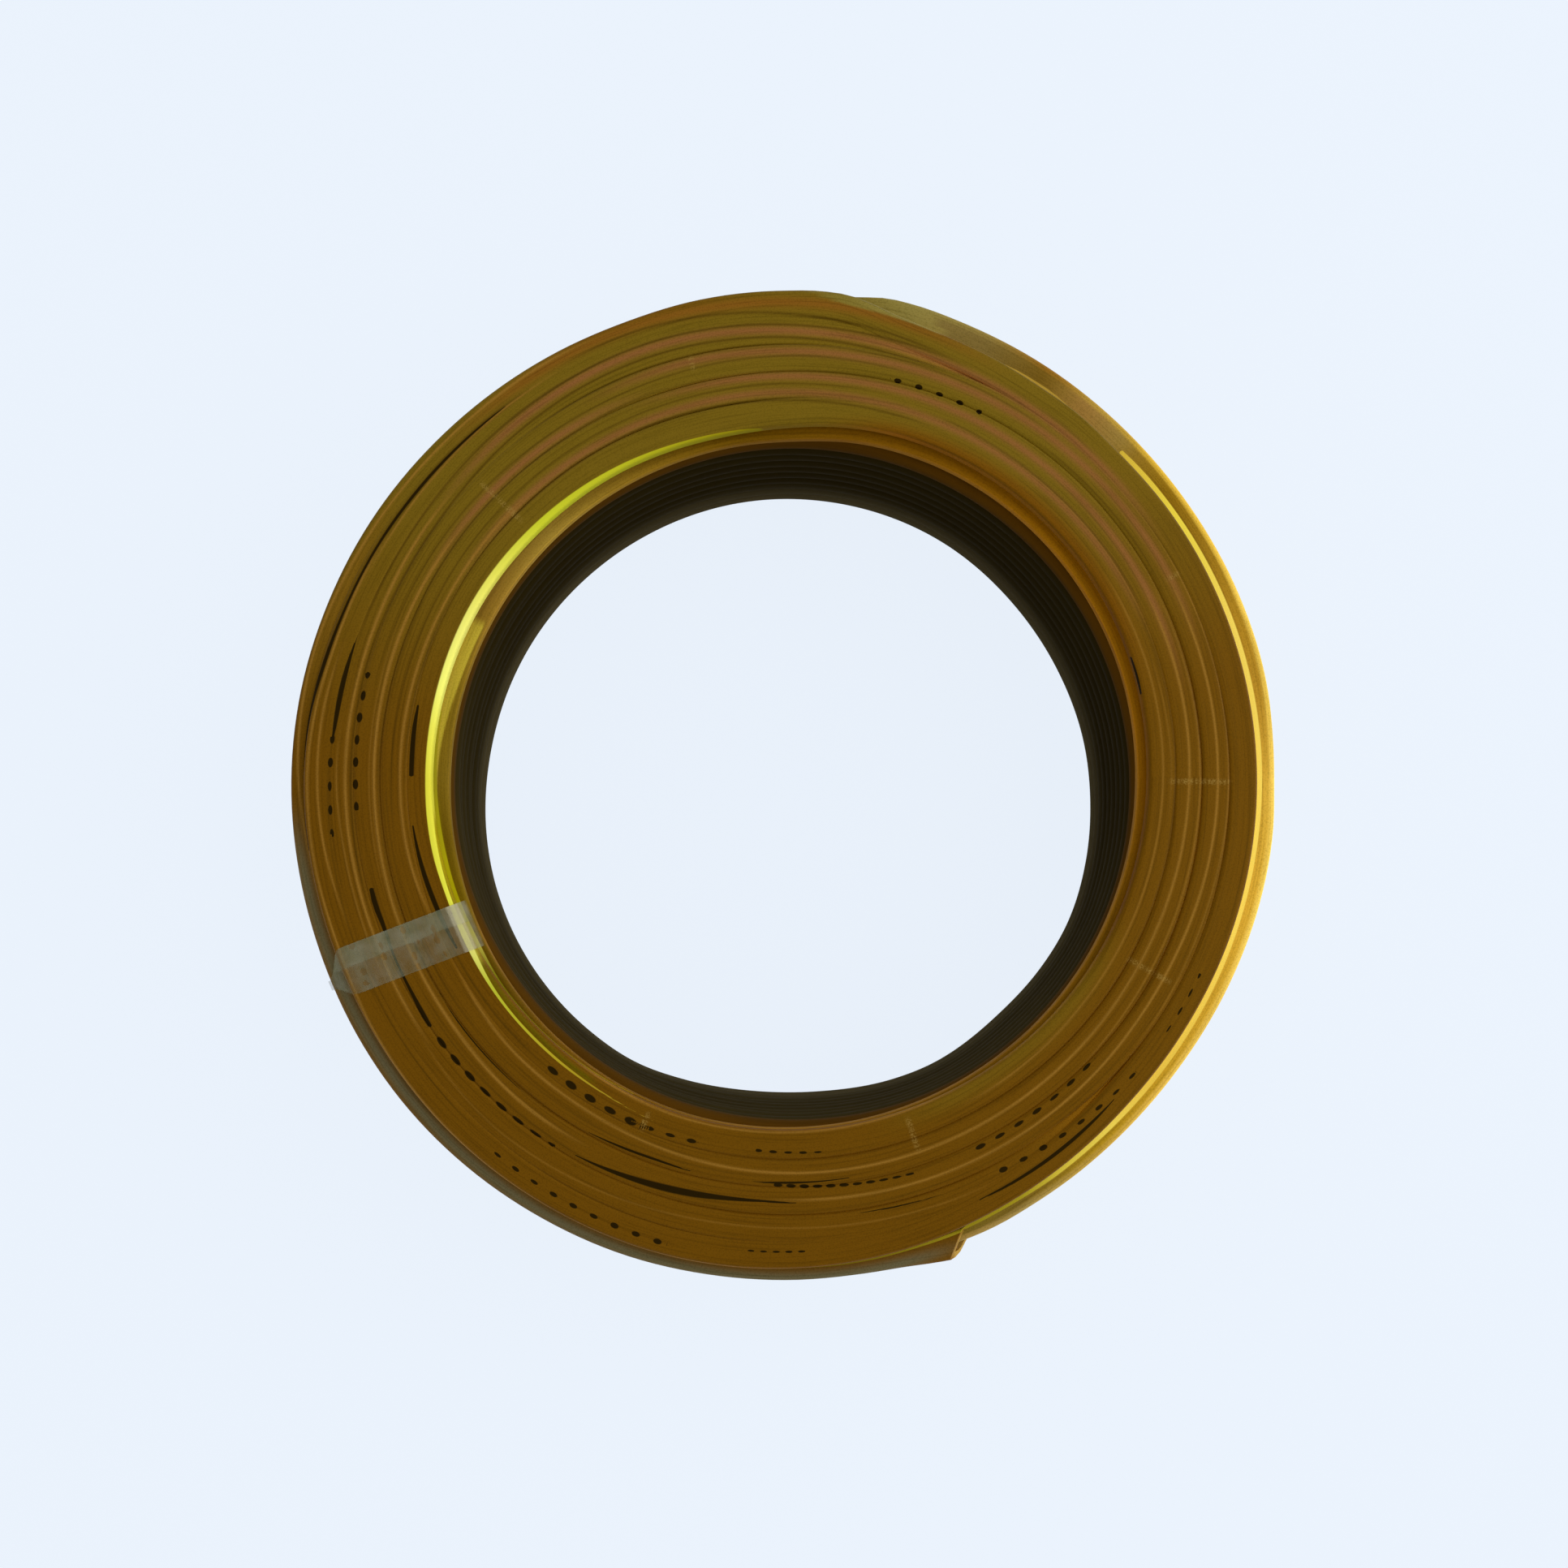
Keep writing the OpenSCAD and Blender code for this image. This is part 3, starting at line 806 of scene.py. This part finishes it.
# Wall tones with painted light and shade: the outside shaded on the left and lit on the right, the
# bore dark with shade and lighter at its foot.
SHADED_WALL_LEFT = srgb(104, 86, 34)
LIT_WALL_RIGHT = srgb(196, 148, 30)
BORE_RIM = srgb(90, 56, 5)
BORE_SHADE_BACK = srgb(38, 30, 7)
BORE_SHADE_FRONT = srgb(58, 49, 24)
BORE_FOOT_LIGHT = srgb(92, 82, 56)
UNDERSIDE = srgb(96, 68, 12)


def back_of_a_turn(radius, height, start, end, points=7):
    """Part of a circle in the section, from one angle to another."""
    turn = np.radians(np.linspace(start, end, points))
    return np.stack([radius + WIRE_R * np.cos(turn), height + WIRE_R * np.sin(turn)], axis=1)


def wall_section():
    """The section's outline, counterclockwise: up the outer wall, back under the upper
    turns, down the bore and out along the underside, with the number of each turn."""
    reach = math.degrees(math.asin(PITCH / 2 / WIRE_R))
    arcs = [back_of_a_turn(OUTER_LAYER_R, LOWEST_Z, -90 - reach, reach, 12)]
    for row in range(1, ROWS):
        arcs.append(back_of_a_turn(OUTER_LAYER_R, LOWEST_Z + row * PITCH, -reach, reach))
    for row in range(ROWS - 1, 0, -1):
        arcs.append(back_of_a_turn(BORE_LAYER_R, LOWEST_Z + row * PITCH, 180 - reach, 180 + reach))
    arcs.append(back_of_a_turn(BORE_LAYER_R, LOWEST_Z, 180 - reach, 270 + reach, 12))
    for layer in range(1, LAYERS - 1):
        radius = BORE_LAYER_R + layer * (OUTER_LAYER_R - BORE_LAYER_R) / (LAYERS - 1)
        arcs.append(back_of_a_turn(radius, LOWEST_Z, 270 - reach, 270 + reach))
    number = np.concatenate([np.full(len(arc), k) for k, arc in enumerate(arcs)])
    return np.concatenate(arcs), number


# How far the bore's foot lies outside its true circle: (angle, mm)
FOOT_OUT = [
    (0, 0.6), (10, 0.4), (25, -0.1), (40, -0.3), (60, 0.0), (90, -0.1), (120, -0.45), (150, -0.4),
    (170, 0.0), (185, 0.5), (200, 0.8), (230, 0.95), (240, 0.75), (250, -0.2), (263, -1.05),
    (275, -1.0), (290, 0.0), (297, 0.4), (315, 0.4), (325, 0.9), (335, 1.3), (348, 1.0)]


def bore_lean(foot_out, radius, height):
    """How far a point of the bore's wall leans outwards: all of it at the foot, less and
    less up to 50 mm, and nothing away from the bore."""
    return foot_out * fade((61.5 - radius) / 2.5) * np.clip(1 - height / 50, 0, 1)


def wound_walls(step=1.2):
    """The section carried round the axis. Each turn swings in and out, and up and down,
    by a tenth of a millimetre or two, as two slow waves with a phase of its own. The
    bore's wall leans besides, more towards its foot."""
    outline, number = wall_section()
    angle = np.radians(np.arange(0, 360, step))[:, None]
    phase = number * 2.4
    swing = 0.10 * np.sin(3 * angle + phase) + 0.06 * np.sin(7 * angle + 1.7 * phase)
    loose = 0.5 - 0.5 * np.cos(angle)
    radius = outline[:, 0] + swing * loose
    foot_out = follow(FOOT_OUT, np.degrees(angle[:, 0]), closed=True)
    radius += bore_lean(foot_out, outline[:, 0], outline[:, 1])
    height = outline[:, 1] + 0.10 * np.sin(2 * angle + 1.3 * phase) * (outline[:, 1] > 6)
    return np.stack([radius * np.cos(angle), radius * np.sin(angle),
                     np.clip(height, 0, None)], axis=2)


def wall_paint(vertices):
    """The walls' tone, with painted light and shade: amber, darker and greyer in shade to the
    left and lit gold to the right outside, and painted nearly black with shade inside the
    bore but for its rim and its lighter foot. The matt number is 1 in the bore, whose wall
    shines less."""
    angle, radius = polar(vertices)
    height = vertices[:, 2]
    outside = on_the_way(SHADED_WALL_LEFT, LIT_WALL_RIGHT, towards(350, angle, -0.15, 0.65))
    bore = on_the_way(BORE_SHADE_BACK, BORE_SHADE_FRONT, towards(255, angle, -0.4, 0.7))
    bore = on_the_way(BORE_RIM, bore, fade((47 - height) / 7))
    bore = on_the_way(bore, BORE_FOOT_LIGHT, fade((16 - height) / 15))
    tone = np.where((radius > 70)[:, None], outside, bore)
    tone = np.where((height < 1.2)[:, None], UNDERSIDE, tone)
    return {"tone": tone, "matt": (radius < 62).astype(float)}


walls_pvc = Finish("amber_pvc_walls")
flat = walls_pvc.stretched(walls_pvc.place(), 40, 40, 900)
wall_streaks = walls_pvc.noise(flat, 1.0, 4.0, 0.6)
wall_streaked = walls_pvc.mix(wall_streaks.rise(0.25, 0.75), (0.8, 0.79, 0.74), (1.15, 1.15, 1.12))
wall_bumps = walls_pvc.bumps(wall_streaks, 0.2, 0.0003)
walls_pvc.set(Base_Color=walls_pvc.mix(1.0, walls_pvc.painted("tone"), wall_streaked, "MULTIPLY"),
              Roughness=wall_streaks * 0.15 + walls_pvc.number("matt") * 0.6 + 0.26,
              Normal=wall_bumps, IOR=1.4, Specular_IOR_Level=0.25,
              Specular_Tint=(1.0, 0.66, 0.15, 1.0))
walls = new_piece("wire_walls", [(wound_walls(), True, True)], walls_pvc.material, wall_paint)
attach(walls, "root")
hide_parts("wire_coil")


# The tape: clear film wound once round the ring's section and half across itself over
# the top. It bridges the grooves and pinches together where it goes over the last turn.

TAPE_AT = 204.1
TAPE_SKEW = 3.0
TAPE_W = 8.0
PLY = 0.1
MIDDLE_R = 68.5
# The centres of the arcs that the film makes round the section: radius, height
TAPE_CORNERS = [(59.3, 2.45), (77.7, 2.45), (81.15, 50.75), (78.75, 52.95), (59.3, 52.9)]
# Half the ring's width and height, under the film
HALF_WIDTH = 13.0
HALF_HEIGHT = 28.0
# How far the bore's foot leans outwards under the film
FOOT_OUT_HERE = 0.8
# A crest under the film, and how far apart the crests are
CREST_R = 60.9
CREST_PITCH = 4.6
# The share of its width that it loses where it pinches, and how far aside that is
PINCH = 0.8
PINCH_ASIDE = 1.3


def turned_by(degrees, x, y):
    """A point turned about the axis."""
    turn = math.radians(degrees)
    return x * math.cos(turn) - y * math.sin(turn), x * math.sin(turn) + y * math.cos(turn)


def round_the_section(grown_by):
    """The tape's way round the section: the edges between the corners, moved outwards by
    a distance, and an arc of that radius at each corner."""
    corners = np.array(TAPE_CORNERS)
    edge = np.roll(corners, -1, axis=0) - corners
    heading = np.degrees(np.arctan2(edge[:, 1], edge[:, 0])) - 90
    points = []
    for k, corner in enumerate(corners):
        turn_to = heading[k - 1] + np.mod(heading[k] - heading[k - 1], 360)
        arc = np.radians(np.linspace(heading[k - 1], turn_to, 9))
        points.append(corner + grown_by * np.stack([np.cos(arc), np.sin(arc)], axis=1))
        ahead = corners[(k + 1) % len(corners)] - corner
        count = max(3, int(np.linalg.norm(ahead) / 0.55))
        share = np.linspace(0, 1, count + 1)[1:-1, None]
        points.append(corner + turned_by(heading[k], grown_by, 0) + share * ahead)
    return np.concatenate(points)


def band(inner, outer, columns=25):
    """The film as a closed skin: across its outer face, then back across its inner one,
    at every point of its way round the section. A point at a distance t from the band's
    middle stands where its line, t beside the band's own, meets the profile's radius.
    The film sags a little between the turns under it and creases a little."""
    way = round_the_section(inner)
    shares = np.linspace(0, 1, columns)
    across = np.concatenate([shares, shares[::-1]])
    painted_groove_light = np.concatenate([np.full(columns, outer - inner), np.zeros(columns)])
    away = (way - np.array([MIDDLE_R, HALF_HEIGHT])) / np.array([HALF_WIDTH, HALF_HEIGHT])
    away /= np.linalg.norm(away, axis=1, keepdims=True)
    radius, height = way[:, 0, None], way[:, 1, None]
    radius = radius + bore_lean(FOOT_OUT_HERE, radius, height)
    over = fade((height - 52) / 2)
    groove = 0.04 - 0.04 * np.cos((radius - CREST_R) * 2 * math.pi / CREST_PITCH)
    crease = 0.015 * np.sin(across * 23 + radius * 0.9) + 0.015 * np.sin(across * 9 - radius * 2.1)
    sunk = over * (groove + crease + 0.01)
    pinched = fade((radius - 79) / 4) * fade((height - 36) / 14)
    t = TAPE_W * (across - 0.5) * (1 - PINCH * pinched) + PINCH_ASIDE * PINCH * pinched
    r = radius + painted_groove_light * away[:, 0, None]
    z = height + painted_groove_light * away[:, 1, None] - np.clip(sunk, 0, None)
    ahead, aside = turned_by(TAPE_SKEW, MIDDLE_R, 0)
    u = -ahead + np.sqrt(ahead ** 2 - t ** 2 - MIDDLE_R ** 2 - 2 * aside * t + r ** 2)
    x, y = turned_by(-TAPE_SKEW, u, t)
    x, y = turned_by(TAPE_AT, MIDDLE_R + x, y)
    return np.stack([x, y, np.clip(z, 0, None)], axis=2)


def film_paint(vertices):
    """How far a point is across the tape, from -1 to 1, how far outwards from the ring's
    middle, and how high."""
    x, y = turned_by(-TAPE_AT, vertices[:, 0], vertices[:, 1])
    x = x - MIDDLE_R
    across = turned_by(TAPE_SKEW, x, y)[1]
    return {"across": across / (TAPE_W / 2), "outwards": x, "height": vertices[:, 2]}


film = Finish("clear_film")
across, outwards, height = film.number("across"), film.number("outwards"), film.number("height")
wander, haze = film.noise(film.place(), 160.0, 2.0), film.noise(film.place(), 420.0, 4.0)
double = (across + (wander - 0.5) * 0.25).rise(-0.12, -0.2) * height.rise(4.0, 5.0)
on_crest = ((outwards + (MIDDLE_R - CREST_R)) * (2 * math.pi / CREST_PITCH)).cosine()
past_rim = outwards.rise(-11.3, -10.6)
out_of_bore = height.rise(40.0, 48.0).most(outwards.rise(-9.0, -6.0))
# The film is painted lighter and more covering over the painted highlight line under it.
over_lit_line = (outwards + 8.8).size().rise(1.25, 0.75) * height.rise(48.0, 50.0)
creases = film.bumps(haze + double * 0.6, 0.3, 0.0004)
cloudy = film.mix(haze.rise(0.3, 0.7), srgb(130, 134, 96), srgb(152, 152, 122))
covers = haze * 0.14 + double * 0.13 - on_crest * 0.04 + over_lit_line * 0.12 + 0.085
film.set(Base_Color=film.mix(over_lit_line, cloudy, srgb(206, 200, 164)),
         Roughness=haze * 0.2 + 0.25, Normal=creases, IOR=1.45,
         Alpha=covers * past_rim * out_of_bore)
film.material.surface_render_method = "BLENDED"
tape = new_piece("binding_tape_film", [(band(WIRE_R, WIRE_R + PLY), True, True)], film.material,
                 film_paint)
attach(tape, "root")
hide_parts("binding_tape")


# The table: a plain pale top under the coil. Seen straight, or in or through the wire, it
# is even and bright; to the rest of the light it is matt, so that the shadow stays.

PALE = srgb(236, 244, 254)
pale_top = Finish("pale_table_top")
seen = pale_top.node("ShaderNodeLightPath", out="Is Camera Ray")
mirrored = pale_top.node("ShaderNodeLightPath", out="Is Glossy Ray")
through = pale_top.node("ShaderNodeLightPath", out="Is Transmission Ray")
pale_top.set(Base_Color=(*PALE * 0.95, 1.0), Roughness=0.9)
matt_top = Value(pale_top, pale_top.shader.outputs[0])
even_top = pale_top.node("ShaderNodeEmission", {}, {"Color": (*PALE, 1.0), "Strength": 1.0})
share_even = seen.most(mirrored).most(through) * 0.94
top = pale_top.node("ShaderNodeMixShader", {}, {0: share_even, 1: matt_top, 2: even_top})
pale_top.plug(pale_top.tree.nodes["Material Output"].inputs["Surface"], top)
table = bpy.data.meshes.new("table_top")
corners = [(-2.5, -2.5, 0), (2.5, -2.5, 0), (2.5, 2.5, 0), (-2.5, 2.5, 0)]
table.from_pydata(corners, [], [(0, 1, 2, 3)])
table_top = bpy.data.objects.new("table_top", table)
table_top.location = (0, 0, -0.0002)
bpy.context.collection.objects.link(table_top)
table_top.data.materials.append(pale_top.material)


# The light and the camera: an even pale surround, a low broad lamp on the right and a
# soft one overhead, and the camera almost straight above the coil.

world = bpy.data.worlds.new("studio")
world.use_nodes = True
world.node_tree.nodes["Background"].inputs["Color"].default_value = (0.97, 0.98, 1.0, 1.0)
world.node_tree.nodes["Background"].inputs["Strength"].default_value = 0.68
bpy.context.scene.world = world


def lamp(name, place, aim, width, depth, power):
    """A soft rectangular lamp at a place, turned to a point."""
    light = bpy.data.lights.new(name, "AREA")
    light.shape = "RECTANGLE"
    light.size = width
    light.size_y = depth
    light.energy = power
    made = bpy.data.objects.new(name, light)
    made.location = place
    made.rotation_euler = (Vector(place) - Vector(aim)).to_track_quat("Z", "Y").to_euler()
    bpy.context.collection.objects.link(made)


lamp("low_lamp", (0.75, 0.05, 0.16), (0, 0, 0.05), 1.6, 0.25, 3.0)
lamp("overhead_lamp", (0.35, 0.1, 0.6), (0, 0, 0.03), 0.5, 0.5, 1.2)

camera = bpy.data.cameras.new("camera")
camera.sensor_width = 36.0
camera.lens = 46.38
camera_object = bpy.data.objects.new("camera", camera)
camera_object.location = (-0.0089, -0.0229, 0.3850)
bpy.context.collection.objects.link(camera_object)
sight = Vector((-0.00175, -0.00094, 0.0495)) - camera_object.location
to_right = sight.cross(Vector((0, 1, 0))).normalized()
upwards = to_right.cross(sight).normalized()
turned_to = Matrix((to_right, upwards, -sight.normalized())).transposed()
camera_object.rotation_euler = turned_to.to_euler()
bpy.context.scene.camera = camera_object
bpy.context.scene.view_settings.view_transform = "Standard"
